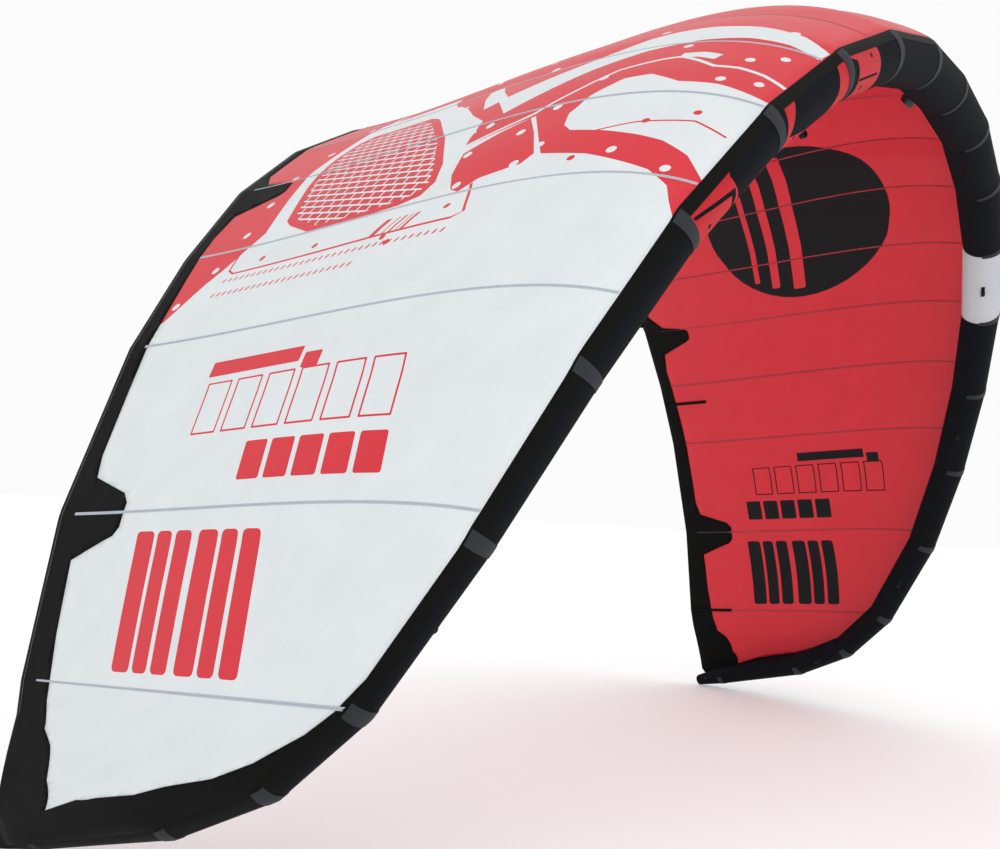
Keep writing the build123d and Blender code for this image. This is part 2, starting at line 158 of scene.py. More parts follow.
crease = step_in(
    weave,
    "ShaderNodeTexNoise",
    {"Vector": stretched.outputs[0], "Scale": given["Crease size"], "Detail": 3.0, "Roughness": 0.45, "Distortion": 0.6},
)
shade = step_in(weave, "ShaderNodeMath", {0: over, 1: given["Thread shade"]}, operation="MULTIPLY").outputs[0]
uneven = step_in(weave, "ShaderNodeMapRange", {"Value": dye.outputs["Fac"], "To Min": 0.93, "To Max": 1.07}).outputs[0]
bright = step_in(weave, "ShaderNodeMath", {0: uneven, 1: shade}, operation="ADD").outputs[0]
tinted = step_in(weave, "ShaderNodeVectorMath", {0: given["Colour"], "Scale": bright}, operation="SCALE")
rough = step_in(weave, "ShaderNodeMapRange", {"Value": dye.outputs["Fac"], "To Min": -0.06, "To Max": 0.06}).outputs[0]
rough = step_in(weave, "ShaderNodeMath", {0: rough, 1: given["Roughness"]}, operation="ADD", use_clamp=True).outputs[0]
fine = step_in(weave, "ShaderNodeMath", {0: over, 1: given["Thread relief"]}, operation="MULTIPLY").outputs[0]
broad = step_in(weave, "ShaderNodeMath", {0: crease.outputs["Fac"], 1: given["Crease relief"]}, operation="MULTIPLY").outputs[0]
relief = step_in(weave, "ShaderNodeMath", {0: fine, 1: broad}, operation="ADD").outputs[0]
weave_out = weave.nodes.new("NodeGroupOutput")
weave.links.new(tinted.outputs[0], weave_out.inputs["Colour"])
weave.links.new(rough, weave_out.inputs["Roughness"])
weave.links.new(relief, weave_out.inputs["Height"])


def cloth_material(name, colour, threads_per_metre, thread_relief, crease_relief, roughness, shine=0.2, **more):
    """A woven material that reads the piece's own cloth UV map, in metres."""
    made = bpy.data.materials.new(name)
    made.use_nodes = True
    tree = made.node_tree
    shader = tree.nodes["Principled BSDF"]
    place = step_in(tree, "ShaderNodeUVMap", uv_map="cloth").outputs[0]
    group = step_in(tree, "ShaderNodeGroup", node_tree=weave)
    tree.links.new(place, group.inputs["Vector"])
    wires = {
        "Colour": (*colour, 1),
        "Threads per metre": threads_per_metre,
        "Thread relief": thread_relief,
        "Crease relief": crease_relief,
        "Roughness": roughness,
    }
    for socket, value in wires.items():
        group.inputs[socket].default_value = value
    for socket, value in more.items():
        group.inputs[socket.replace("_", " ").capitalize()].default_value = value
    bump = step_in(tree, "ShaderNodeBump", {"Height": group.outputs["Height"], "Distance": 0.0006, "Strength": 1.0})
    shader.inputs["Specular IOR Level"].default_value = shine
    tree.links.new(group.outputs["Colour"], shader.inputs["Base Color"])
    tree.links.new(group.outputs["Roughness"], shader.inputs["Roughness"])
    tree.links.new(bump.outputs[0], shader.inputs["Normal"])
    return made


# ---------------------------------------------------------------------------------------------
# Leading-edge casing: 24 mitred lengths of heavy charcoal polyester, sewn end to end into one
# tapering arched tube round the bladder.  Its line, girth and facing are what all else is sewn to.
# ---------------------------------------------------------------------------------------------
SEGMENT_LENGTHS = [0.296, 0.299, 0.302, 0.328, 0.347, 0.359, 0.369, 0.380, 0.242, 0.253, 0.403, 0.133]
ARCH_ANGLES = [5, 17, 28, 39, 50.5, 61, 69, 75, 76, 71, 72, 72]
SWEEP_ANGLES = [0, 3.5, 6.2, 10, 13.8, 17, 21, 29.3, 44.8, 62.5, 74.2, 71.8]
TUBE_RADII = [0.072, 0.071, 0.070, 0.068, 0.0655, 0.062, 0.058, 0.054, 0.0505, 0.0485, 0.0465, 0.039, 0.024]
TUBE_MIDDLE = np.array((0, -0.765856, 2.10314))
JOINTS = len(SEGMENT_LENGTHS)
SEAMS = [0.3, 1.0, 1.7, 2.4, 3.2, 4.0, 4.75, 5.55, 6.87, 8.0]
TRAILING_WIDTHS = [0.100, 0.233, 0.237, 0.242, 0.276, 0.271, 0.290, 0.304, 0.456, 0.388, 0.315]
TRAILING_ANGLES = [2, 8, 15, 22, 31, 42, 53.5, 60, 69, 80, 82]
CENTRE_CHORD = 1.605
TIP_CHORD_CUT = 0.085
TRAILING_RISE = 0.076

joint_points = [np.zeros(3)]
for length, arch, sweep in zip(SEGMENT_LENGTHS, ARCH_ANGLES, SWEEP_ANGLES):
    a, s = math.radians(arch), math.radians(sweep)
    step = np.array((math.cos(s) * math.cos(a), math.sin(s), -math.cos(s) * math.sin(a)))
    joint_points.append(joint_points[-1] + step * length)
joint_points = np.array(joint_points)
trailing_marks = [0] + SEAMS + [JOINTS]
trailing_x = np.concatenate([[0], np.cumsum([w * math.cos(math.radians(a)) for w, a in zip(TRAILING_WIDTHS, TRAILING_ANGLES)])])
trailing_z = TRAILING_RISE - np.concatenate(
    [[0], np.cumsum([w * math.sin(math.radians(a)) for w, a in zip(TRAILING_WIDTHS, TRAILING_ANGLES)])]
)
trailing_y = [CENTRE_CHORD - TIP_CHORD_CUT * (m / JOINTS) ** 2 for m in trailing_marks]


def unit(v):
    return v / np.linalg.norm(v)


def on_line(values, station):
    return np.array([np.interp(station, range(len(values)), column) for column in np.array(values).T])


def trailing_point(station):
    return np.array([np.interp(station, trailing_marks, axis) for axis in (trailing_x, trailing_y, trailing_z)])


def tube_radius(station):
    return float(np.interp(station, range(JOINTS + 1), TUBE_RADII))


def tube_frame(station):
    """Centre of the tube and its directions: along it, aft towards the canopy, and outward."""
    k = min(int(station), JOINTS - 1)
    along = unit(joint_points[k + 1] - joint_points[k])
    if abs(station - k) < 1e-6:
        along = np.array((1.0, 0, 0)) if k == 0 else unit(along + unit(joint_points[k] - joint_points[k - 1]))
    centre = on_line(joint_points, station)
    chord = trailing_point(station) - centre
    aft = unit(chord - along * (chord @ along))
    out = unit(np.cross(aft, along))
    if out @ (centre + np.array((0, -centre[1], 1.4))) < 0:
        out = -out
    return centre, along, aft, out


def on_tube(station, side, angle, proud=0.0):
    """Point beside the tube: angle in degrees from outward towards the front, proud of its surface."""
    centre, along, aft, out = tube_frame(station)
    a = math.radians(angle)
    spot = centre + (out * math.cos(a) - aft * math.sin(a)) * (tube_radius(station) + proud)
    return spot * np.array((side, 1, 1)) + TUBE_MIDDLE


def cut_cloth(name, xs, ys, outlines, place, uv_of):
    """Lays out a flat cloth between grid lines, cuts every outline into it, and bends it with place.

    outlines holds (material number, points); a later outline lies over an earlier one.
    """
    step = min(np.diff(xs).min(), np.diff(ys).min())
    loops = []
    for number, points in outlines:
        loop = []
        for p, q in zip(points, points[1:] + points[:1]):
            parts = max(1, int(math.hypot(q[0] - p[0], q[1] - p[1]) / 0.02))
            loop += [(p[0] + (q[0] - p[0]) * k / parts, p[1] + (q[1] - p[1]) * k / parts) for k in range(parts)]
        loop = [(min(max(x, xs[0]), xs[-1]), min(max(y, ys[0]), ys[-1])) for x, y in loop]
        doubled = sum(p[0] * q[1] - q[0] * p[1] for p, q in zip(loop, loop[1:] + loop[:1]))
        loops.append((number, loop if doubled > 0 else loop[::-1]))
    near = KDTree(max(1, sum(len(loop) for _, loop in loops)))
    count = 0
    for _, loop in loops:
        for x, y in loop:
            near.insert((x, y, 0), count)
            count += 1
    near.balance()
    points = []
    for i, x in enumerate(xs):
        for j, y in enumerate(ys):
            rim = i in (0, len(xs) - 1) or j in (0, len(ys) - 1)
            if rim or not count or near.find((x, y, 0))[2] > 0.35 * step:
                points.append((float(x), float(y)))
    faces = []
    for _, loop in loops:
        faces.append(list(range(len(points), len(points) + len(loop))))
        points += loop
    flat, _, triangles, _, _, owners = delaunay_2d_cdt([Vector(p) for p in points], [], faces, 0, 1e-5)
    numbers = [loops[max(o)][0] if o else 0 for o in owners]
    spots = [place(p[0], p[1]) for p in flat]
    mesh = bpy.data.meshes.new(name)
    mesh.from_pydata([tuple(s) for s in spots], [], [tuple(t) for t in triangles])
    mesh.polygons.foreach_set("material_index", numbers)
    layer = mesh.uv_layers.new(name="cloth")
    for loop in mesh.loops:
        layer.data[loop.index].uv = uv_of(*flat[loop.vertex_index])
    mesh.polygons.foreach_set("use_smooth", [True] * len(mesh.polygons))
    return mesh, numbers


def show(mesh, name=None):
    made = bpy.data.objects.new(name or mesh.name, mesh)
    scene.collection.objects.link(made)
    return made


def face_outward(obj, merge=0.00005):
    """Merges doubles and turns the faces of a closed or open shell the same way, outward."""
    import bmesh
    work = bmesh.new()
    work.from_mesh(obj.data)
    bmesh.ops.remove_doubles(work, verts=work.verts, dist=merge)
    bmesh.ops.recalc_face_normals(work, faces=work.faces)
    work.to_mesh(obj.data)
    work.free()


def casing_stations(first, last):
    """Stations of the tube's rings: closer together beside each joint, where the cloth pinches."""
    shares = [0, 0.03, 0.1, 0.22, 0.4, 0.6, 0.78, 0.9, 0.97]
    return [k + s for k in range(first, last) for s in shares] + [last]


tube_length = np.concatenate([[0], np.cumsum(SEGMENT_LENGTHS)])


def station_at(distance):
    return float(np.interp(distance, tube_length, range(JOINTS + 1)))


casing_grid = [float(np.interp(s, range(JOINTS + 1), tube_length)) for s in casing_stations(0, JOINTS)]
casing_xs = np.array(sorted([-d for d in casing_grid[1:]] + casing_grid))
AROUND = np.linspace(-0.5, 0.5, 73)
ART_START, ART_END = 2.45, 5.0
LABEL_START, LABEL_END = 3.0, 4.0


def tube_mark(station, side, turn):
    """Flat place on the casing cloth: length from the middle, share of a turn towards the front."""
    return (side * float(np.interp(station, range(JOINTS + 1), tube_length)), turn)


def band_on_tube(points, side=-1):
    return [tube_mark(s, side, t) for s, t in points]


casing_prints = [
    (1, band_on_tube([(ART_START, -0.5), (ART_END, -0.5), (ART_END, 0.5), (ART_START, 0.5)])),
    (2, band_on_tube([(LABEL_START, -0.5), (LABEL_END, -0.5), (LABEL_END, 0.5), (LABEL_START, 0.5)], 1)),
    (0, band_on_tube([(3.1, 0.08), (3.75, 0.16), (3.9, 0.32), (3.35, 0.44), (3.2, 0.30)])),
    (0, band_on_tube([(3.86, 0.05), (4.42, 0.05), (4.55, 0.18), (4.5, 0.48), (3.98, 0.48), (3.92, 0.25)])),
    (3, band_on_tube([(4.06, 0.36), (4.42, 0.36), (4.42, 0.42), (4.08, 0.42)])),
    (0, band_on_tube([(2.86, 0.2), (2.98, 0.17), (2.98, 0.42), (2.86, 0.45)])),
    (0, band_on_tube([(4.55, 0.25), (4.95, 0.18), (4.95, 0.2), (4.6, 0.27), (4.6, 0.42), (4.57, 0.42)])),
    (0, band_on_tube([(2.5, 0.3), (2.85, 0.3), (2.85, 0.315), (2.5, 0.315)])),
]
for station, turn_share in ((2.6, 0.2), (2.75, 0.36), (3.02, 0.12), (3.25, 0.11), (3.8, 0.36), (4.62, 0.12), (4.85, 0.3), (4.7, 0.36)):
    middle = tube_mark(station, -1, turn_share)
    dot = [(middle[0] + 0.006 * math.cos(a * math.pi / 4), middle[1] + 0.015 * math.sin(a * math.pi / 4)) for a in range(8)]
    casing_prints.append((0, dot))


def place_on_tube(x, turn_share):
    return on_tube(station_at(abs(x)), 1 if x >= 0 else -1, turn_share * 360)


casing_mesh, _ = cut_cloth(
    "tube_casing",
    casing_xs,
    AROUND,
    casing_prints,
    place_on_tube,
    lambda x, t: (x, t * 2 * math.pi * 0.065),
)
casing_cloth = cloth_material("charcoal_casing_cloth", (0.0055, 0.0066, 0.0088), 260, 0.5, 0.9, 0.68, 0.05, crease_size=5.0)
casing_red = cloth_material("red_casing_cloth", (0.50, 0.010, 0.018), 260, 0.5, 0.5, 0.5, 0.2)
casing_grey = cloth_material("pale_grey_casing_cloth", (0.52, 0.55, 0.58), 260, 0.5, 0.4, 0.55, 0.3)
casing_grating = cloth_material("red_grating_casing_cloth", (0.40, 0.010, 0.016), 260, 0.6, 0.5, 0.5, 0.2)
for made in (casing_cloth, casing_red, casing_grey, casing_grating):
    casing_mesh.materials.append(made)
casing = show(casing_mesh)
face_outward(casing)
tip_domes = []
for side in (-1, 1):
    rings = []
    for share in (0, 0.35, 0.65, 0.87, 1.0):
        ring = []
        for k in range(48):
            spot = on_tube(JOINTS, side, 360 * k / 48)
            centre, along, aft, out = tube_frame(JOINTS)
            middle = centre * np.array((side, 1, 1)) + TUBE_MIDDLE
            push = along * np.array((side, 1, 1)) * 0.006 * math.sin(share * math.pi / 2)
            ring.append(middle + (spot - middle) * math.cos(share * math.pi / 2) ** 0.6 + push)
        rings.append(ring)
    spots = [tuple(s) for ring in rings for s in ring]
    faces = [
        (r * 48 + k, r * 48 + (k + 1) % 48, (r + 1) * 48 + (k + 1) % 48, (r + 1) * 48 + k)
        for r in range(4)
        for k in range(48)
    ]
    dome = bpy.data.meshes.new("tip_dome")
    dome.from_pydata(spots, [], faces)
    layer = dome.uv_layers.new(name="cloth")
    for loop in dome.loops:
        layer.data[loop.index].uv = (spots[loop.vertex_index][1], spots[loop.vertex_index][2])
    dome.polygons.foreach_set("use_smooth", [True] * len(dome.polygons))
    dome.materials.append(casing_cloth)
    tip_domes.append(show(dome, "tube_tip_" + ("right" if side > 0 else "left")))
    face_outward(tip_domes[-1])
segment_nodes = [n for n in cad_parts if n.startswith("tube_segment")]
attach(casing, "kite")
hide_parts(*segment_nodes)
for dome in tip_domes:
    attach(dome, "kite")

# ---------------------------------------------------------------------------------------------
# Canopy: one continuous cambered sheet of ripstop spinnaker cloth from wingtip to wingtip, white on
# the left and red on the right, with printed fields of red plates, bars and discs.  It is sewn to
# the top of the tube along its front, and each panel fills a little between its seams.
# ---------------------------------------------------------------------------------------------
ENTRY_ANGLE = 30
ENTRY_ANGLE_CENTRE = 8
CAMBER_REACH = 0.20
CAMBER_REACH_CENTRE = 0.12
CAMBER_FADE = 5.5
EXIT_ANGLE = 1
EXIT_REACH = 0.42
TIP_REACH = 0.9
TIP_LIFT = 0.75
TIP_LIFT_START = 9
TIP_END = 11.65
SKIN_RISE = 0.0013
BILLOW = 0.007
stations = np.round(np.concatenate([np.arange(0, TIP_END, 0.05), [TIP_END]]), 3)
shares = np.linspace(0, 1, 65)


def skin_section(station, steps=97):
    """Points of the canopy's outer surface at a station, from the tube to the trailing edge."""
    centre, along, aft, out = tube_frame(station)
    fade = max(0, 1 - station / CAMBER_FADE)
    entry = math.radians(ENTRY_ANGLE + ENTRY_ANGLE_CENTRE * fade)
    leave = math.radians(EXIT_ANGLE)
    radius = tube_radius(station)
    start = centre + (out * math.cos(entry) - aft * math.sin(entry)) * (radius + SKIN_RISE)
    lift = TIP_LIFT * max(0, station - TIP_LIFT_START) / (JOINTS - TIP_LIFT_START)
    end = trailing_point(station) + out * radius * lift
    length = np.linalg.norm(end - start)
    chord = (end - start) / length
    normal = unit(out - chord * (out @ chord))
    first = max(length * (CAMBER_REACH + CAMBER_REACH_CENTRE * fade), radius * TIP_REACH)
    up = start + (chord * math.cos(entry) + normal * math.sin(entry)) * first
    down = end + (normal * math.sin(leave) - chord * math.cos(leave)) * length * EXIT_REACH
    t = np.linspace(0, 1, steps)[:, None]
    curve = (1 - t) ** 3 * start + 3 * (1 - t) ** 2 * t * up + 3 * (1 - t) * t**2 * down + t**3 * end
    return curve, normal


seam_list = [0] + SEAMS + [TIP_END]
skin_points = np.zeros((len(stations), len(shares), 3))
chord_lengths = []
for i, station in enumerate(stations):
    curve, normal = skin_section(float(station))
    run = np.concatenate([[0], np.cumsum(np.linalg.norm(np.diff(curve, axis=0), axis=1))])
    chord_lengths.append(run[-1])
    spots = np.array([np.interp(shares * run[-1], run, curve[:, c]) for c in range(3)]).T
    k = max(0, int(np.searchsorted(seam_list, station, side="right")) - 1)
    k = min(k, len(seam_list) - 2)
    low, high = (-SEAMS[0], SEAMS[0]) if k == 0 else (seam_list[k], seam_list[k + 1])
    fill = math.sin(math.pi * (station - low) / (high - low))
    fill_chord = np.sin(np.pi * shares**0.8) ** 0.8 * min(1.0, run[-1])
    skin_points[i] = spots + normal * (BILLOW * fill * fill_chord)[:, None]
middles = skin_points[:, 32]
span_at = np.concatenate([[0], np.cumsum(np.linalg.norm(np.diff(middles, axis=0), axis=1))])
chord_lengths = np.array(chord_lengths)
HALF_SPAN = float(span_at[-1])
FLAT_CHORD = float(chord_lengths[0])


def chord_at(x):
    return float(np.interp(abs(x), span_at, chord_lengths))


def lay(x, y):
    """Flat place of a spot x metres from the middle seam and y metres back from the tube."""
    return (x, FLAT_CHORD * min(max(y / chord_at(x), 0), 1))


def lay_back(x, y):
    """The same, measured forward from the trailing edge."""
    return lay(x, chord_at(x) - y)


def skin_spot(x, flat_y, proud=0.0):
    """Point on the canopy for a flat place, raised proud above the outer surface."""
    fi = float(np.interp(abs(x), span_at, range(len(stations))))
    fj = flat_y / FLAT_CHORD * (len(shares) - 1)
    i, j = min(int(fi), len(stations) - 2), min(int(fj), len(shares) - 2)
    a, b = fi - i, fj - j
    p = skin_points
    spot = (p[i, j] * (1 - a) + p[i + 1, j] * a) * (1 - b) + (p[i, j + 1] * (1 - a) + p[i + 1, j + 1] * a) * b
    if proud:
        spot = spot + unit(np.cross(p[i, j + 1] - p[i, j], p[i + 1, j] - p[i, j])) * proud
    return spot * np.array((1 if x >= 0 else -1, 1, 1)) + TUBE_MIDDLE


WHITE, RED, BLACK, GRATING, BAND = range(5)
prints = [(RED, [(-1.07, 0), (HALF_SPAN, 0), (HALF_SPAN, FLAT_CHORD), (-1.07, FLAT_CHORD)])]


def left(points):
    return [lay(-x, y) for x, y in points]


def stroke(number, points, width, side=-1, wide_end=None):
    """A printed band of a given width along a run of points."""
    line = np.array(points, float)
    ends = np.linspace(width, wide_end if wide_end is not None else width, len(line)) / 2
    way = np.gradient(line, axis=0)
    way /= np.linalg.norm(way, axis=1)[:, None]
    across = np.stack([-way[:, 1], way[:, 0]], 1) * ends[:, None]
    outline = list(line + across) + list((line - across)[::-1])
    prints.append((number, [lay(side * p[0], p[1]) for p in outline]))


def rounded(number, centre, half, corner, side=-1, slant=0.0):
    """A printed box with round corners, leaning by slant."""
    outline = []
    for sx, sy, start in ((1, 1, 0), (-1, 1, 90), (-1, -1, 180), (1, -1, 270)):
        for extra in (0, 30, 60, 90):
            a = math.radians(start + extra)
            x = centre[0] + sx * (half[0] - corner) + corner * math.cos(a)
            y = centre[1] + sy * (half[1] - corner) + corner * math.sin(a)
            outline.append(lay(side * x, y + slant * (x - centre[0])))
    prints.append((number, outline))


def disc_print(number, centre, radius, side=-1, points=12, squash=1.0):
    prints.append(
        (
            number,
            [
                lay(
                    side * (centre[0] + radius * math.cos(k * 2 * math.pi / points)),
                    centre[1] + squash * radius * math.sin(k * 2 * math.pi / points),
                )
                for k in range(points)
            ],
        )
    )


# red fields of the left half: along the trailing edge, over the top, and two plates with arms
prints.append((RED, left([(1.0, 1.29), (1.22, 1.29), (1.35, 1.29), (1.49, 1.257), (1.63, 1.21), (1.71, 1.24), (1.78, 1.275), (1.91, 1.335), (1.93, 1.5), (1.3, 1.6), (1.0, 1.7)])))
prints.append((RED, left([(1.0, 0.0), (1.78, 0.0), (1.70, 0.05), (1.66, 0.11), (1.635, 0.19), (1.61, 0.27), (1.59, 0.39), (1.42, 0.515), (1.49, 0.665), (1.45, 0.68), (1.37, 0.70), (1.29, 0.80), (1.17, 0.94), (1.10, 1.0), (1.0, 1.0)])))
prints.append((WHITE, left([(1.44, 0.415), (1.375, 0.40), (1.312, 0.355), (1.303, 0.295), (1.345, 0.21), (1.345, 0.12), (1.37, 0.0), (1.66, 0.0), (1.60, 0.06), (1.565, 0.13), (1.55, 0.19), (1.53, 0.28), (1.515, 0.365), (1.49, 0.395)])))
stroke(WHITE, [(1.10, 0.0), (1.068, 0.08), (1.055, 0.18), (1.062, 0.30), (1.095, 0.42), (1.16, 0.52), (1.24, 0.61), (1.31, 0.69)], 0.045, wide_end=0.135)
stroke(WHITE, [(1.27, 0.735), (1.19, 0.80), (1.115, 0.85)], 0.06, wide_end=0.035)
stroke(WHITE, [(1.29, 0.0), (1.268, 0.06), (1.258, 0.12), (1.262, 0.175), (1.235, 0.225), (1.212, 0.275), (1.222, 0.32), (1.255, 0.40), (1.33, 0.46), (1.405, 0.525), (1.49, 0.675)], 0.010)
stroke(WHITE, [(1.212, 0.19), (1.20, 0.235), (1.205, 0.28)], 0.030)
prints.append((RED, left([(1.655, 0.585), (1.60, 0.62), (1.52, 0.645), (1.46, 0.58), (1.425, 0.525), (1.50, 0.465), (1.585, 0.41), (1.615, 0.425), (1.637, 0.52), (1.67, 0.555)])))
prints.append((WHITE, left([(1.0, 1.235), (1.17, 1.255), (1.24, 1.275), (1.35, 1.275), (1.35, 1.285), (1.2, 1.285), (1.0, 1.26)])))
prints.append((RED, left([(1.625, 1.125), (1.60, 1.16), (1.45, 1.225), (1.30, 1.255), (1.21, 1.245), (1.185, 1.215), (1.20, 1.0), (1.235, 0.945), (1.27, 0.91), (1.40, 0.795), (1.54, 0.69), (1.61, 0.66), (1.65, 0.675), (1.665, 0.73), (1.675, 0.90), (1.672, 1.02)])))
prints.append((GRATING, left([(1.605, 1.115), (1.585, 1.14), (1.445, 1.205), (1.30, 1.237), (1.22, 1.225), (1.202, 1.20), (1.218, 1.01), (1.25, 0.958), (1.285, 0.925), (1.41, 0.812), (1.548, 0.712), (1.605, 0.683), (1.635, 0.695), (1.647, 0.74), (1.655, 0.90), (1.652, 1.01)])))
stroke(WHITE, [(1.44, 0.70), (1.35, 0.77), (1.26, 0.86), (1.20, 0.93), (1.16, 1.0), (1.15, 1.1), (1.145, 1.2)], 0.05)
stroke(RED, [(1.70, 1.24), (1.755, 1.225), (1.773, 1.20), (1.773, 0.9), (1.768, 0.50), (1.755, 0.475), (1.65, 0.53)], 0.007)
stroke(WHITE, [(0.90, 1.0), (0.98, 0.93), (1.04, 0.90)], 0.012)
for k in range(34):
    y = 1.21 - k * 0.0215
    rounded(RED, (1.80, y), (0.006, 0.0035), 0.002, slant=0.5)
    if k < 23:
        rounded(RED, (1.845, y), (0.006, 0.0035), 0.002, slant=0.5)
for y, wide in ((0.72, 0.018), (0.688, 0.005), (0.668, 0.008), (0.648, 0.004), (0.632, 0.011)):
    rounded(RED, (1.744, y), (0.027, wide * 0.5), 0.002, slant=0.35)
for x, y in ((1.735, 1.12), (1.742, 0.93), (1.72, 0.545), (1.78, 0.685), (1.80, 0.66), (1.50, 0.20), (1.46, 0.11), (1.62, 0.30)):
    disc_print(RED, (x, y), 0.009, points=8)
stroke(RED, [(1.552, 0.37), (1.505, 0.22), (1.49, 0.10), (1.52, 0.02)], 0.005)
RIVETS = [
    (1.62, 1.29), (1.86, 1.335), (1.50, 1.32), (1.37, 1.34), (1.24, 1.33), (1.08, 1.33), (1.74, 1.29),
    (1.645, 0.575), (1.53, 0.625), (1.61, 0.445), (1.485, 0.51), (1.555, 0.415), (1.40, 0.47), (1.60, 0.22),
    (1.65, 0.08), (1.30, 0.62), (1.41, 0.65), (1.22, 0.87), (1.29, 0.42), (1.21, 0.12), (1.17, 0.06),
    (1.03, 0.10), (1.02, 0.42), (1.10, 0.68), (1.32, 0.13), (1.31, 0.05), (1.14, 0.30), (1.0, 0.75),
]
for x, y in RIVETS:
    disc_print(WHITE, (x, y), 0.011)
# plain panels of bars and slanted blocks low on each half
for side, ink, top_bar, low_bars in ((-1, RED, 0.80, 0.46), (1, BLACK, 0.565, 0.72)):
    rounded(ink, (2.09, top_bar + 0.03), (0.021, 0.150), 0.004, side, -0.35)
    rounded(ink, (2.11, top_bar - 0.165), (0.021, 0.026), 0.004, side, -0.35)
    ground = WHITE if side < 0 else RED
    for k in range(6):
        y = 0.885 - 0.103 * k
        rounded(ink, (2.20, y), (0.070, 0.042), 0.003, side, -0.40)
        rounded(ground, (2.20, y), (0.065, 0.037), 0.002, side, -0.40)
    for k in range(5):
        rounded(ink, (2.347, low_bars + 0.164 - 0.082 * k), (0.046, 0.034), 0.006, side, -0.45)
    for y in (0.675, 0.459):
        for shift, wide in ((0.068, 0.031), (0.0, 0.025), (-0.066, 0.027)):
            rounded(ink, (2.665, y + shift), (0.160, wide), 0.012, side, -0.62)
# a plain black roundel with straight bars on the right half
disc_print(BLACK, (0.915, 0.78), 0.392, 1, 48, 0.94)
for k, (y, wide) in enumerate(((0.98, 0.022), (0.90, 0.034), (0.80, 0.05))):
    half = math.sqrt(max(0, 0.38**2 - (y - 0.78) ** 2))
    rounded(RED, (0.915, y), (half - 0.03, wide / 2), 0.008, 1)
# black trailing band, its two batten patches a side, the middle batten's patch and the tip corners
BAND_EDGE = [
    (0.0, 0.046), (0.24, 0.046), (0.29, 0.20), (0.31, 0.215), (0.37, 0.215), (0.39, 0.20), (0.44, 0.047),
    (1.30, 0.052), (1.365, 0.10), (1.39, 0.20), (1.405, 0.215), (1.445, 0.215), (1.46, 0.20), (1.515, 0.07),
    (1.60, 0.055), (1.91, 0.068), (2.30, 0.075), (2.36, 0.09), (2.405, 0.22), (2.43, 0.242), (2.49, 0.242),
    (2.515, 0.225), (2.575, 0.088), (2.75, 0.098), (2.93, 0.113), (3.03, 0.125), (3.075, 0.165), (3.18, 0.185),
    (3.275, 0.205),
]
TIP_EDGE = [(3.18, 0.21), (3.105, 0.148), (3.06, 0.135), (2.97, 0.055), (2.91, 0.022), (2.80, 0.0)]
for side in (-1, 1):
    inner = [lay_back(side * x, y) for x, y in BAND_EDGE] + [lay(side * x, y) for x, y in TIP_EDGE]
    rim = [(side * x, 0.0) for x in (3.0, 3.3, HALF_SPAN)]
    rim += [(side * HALF_SPAN, FLAT_CHORD * s) for s in (0.3, 0.7, 1.0)]
    rim += [(side * x, FLAT_CHORD) for x in (3.3, 2.5, 1.5, 0.5, 0.0)]
    prints.append((BAND, inner + rim))

skin_xs = np.concatenate([np.linspace(-HALF_SPAN, HALF_SPAN, 291)])
skin_ys = np.linspace(0, FLAT_CHORD, 61)


def skin_uv(x, flat_y):
    return (x, flat_y / FLAT_CHORD * chord_at(x))


skin_mesh, skin_numbers = cut_cloth("skin", skin_xs, skin_ys, prints, skin_spot, skin_uv)


def part_of_skin(name, keep, thickness, rise):
    """The faces of the laid-out skin whose material is in keep, as a closed cloth of its own."""
    import bmesh
    work = bmesh.new()
    work.from_mesh(skin_mesh)
    spare = [f for f in work.faces if f.material_index not in keep]
    bmesh.ops.delete(work, geom=spare, context="FACES")
    mesh = bpy.data.meshes.new(name)
    work.to_mesh(mesh)
    work.free()
    made = show(mesh, name)
    face_outward(made)
    thick = made.modifiers.new("cloth_thickness", "SOLIDIFY")
    thick.thickness = thickness
    thick.offset = rise
    thick.use_even_offset = False
    return made


white_cloth = cloth_material("white_spinnaker", (0.70, 0.735, 0.75), 180, 0.22, 0.9, 0.42, 0.3, crease_size=2.4)
red_cloth = cloth_material("red_spinnaker", (0.65, 0.022, 0.036), 180, 0.22, 0.9, 0.40, 0.35, crease_size=2.4)
black_cloth = cloth_material("black_print", (0.006, 0.007, 0.0085), 180, 0.22, 0.9, 0.45, 0.15, crease_size=2.4)
grating_cloth = cloth_material("red_grating_print", (0.56, 0.022, 0.038), 180, 0.22, 0.9, 0.42, 0.35, crease_size=2.4)
band_cloth = cloth_material("black_band_cloth", (0.0045, 0.0045, 0.0042), 220, 0.4, 1.6, 0.55, 0.06, crease_size=6.0)

tree = grating_cloth.node_tree
cloth_place = step_in(tree, "ShaderNodeUVMap", uv_map="cloth").outputs[0]
leaning = step_in(tree, "ShaderNodeMapping", {"Vector": cloth_place, "Rotation": (0, 0, math.radians(-76))})
tiles = step_in(
    tree,
    "ShaderNodeTexBrick",
    {"Vector": leaning.outputs[0], "Color1": (0.60, 0.022, 0.038, 1), "Color2": (0.55, 0.03, 0.045, 1), "Scale": 1.0,
     "Mortar": (0.74, 0.75, 0.77, 1), "Mortar Size": 0.0028, "Brick Width": 0.042, "Row Height": 0.021, "Mortar Smooth": 0.2},
    offset=0.5,
)
grating_group = [n for n in tree.nodes if n.type == "GROUP"][0]
tree.links.new(tiles.outputs["Color"], grating_group.inputs["Colour"])

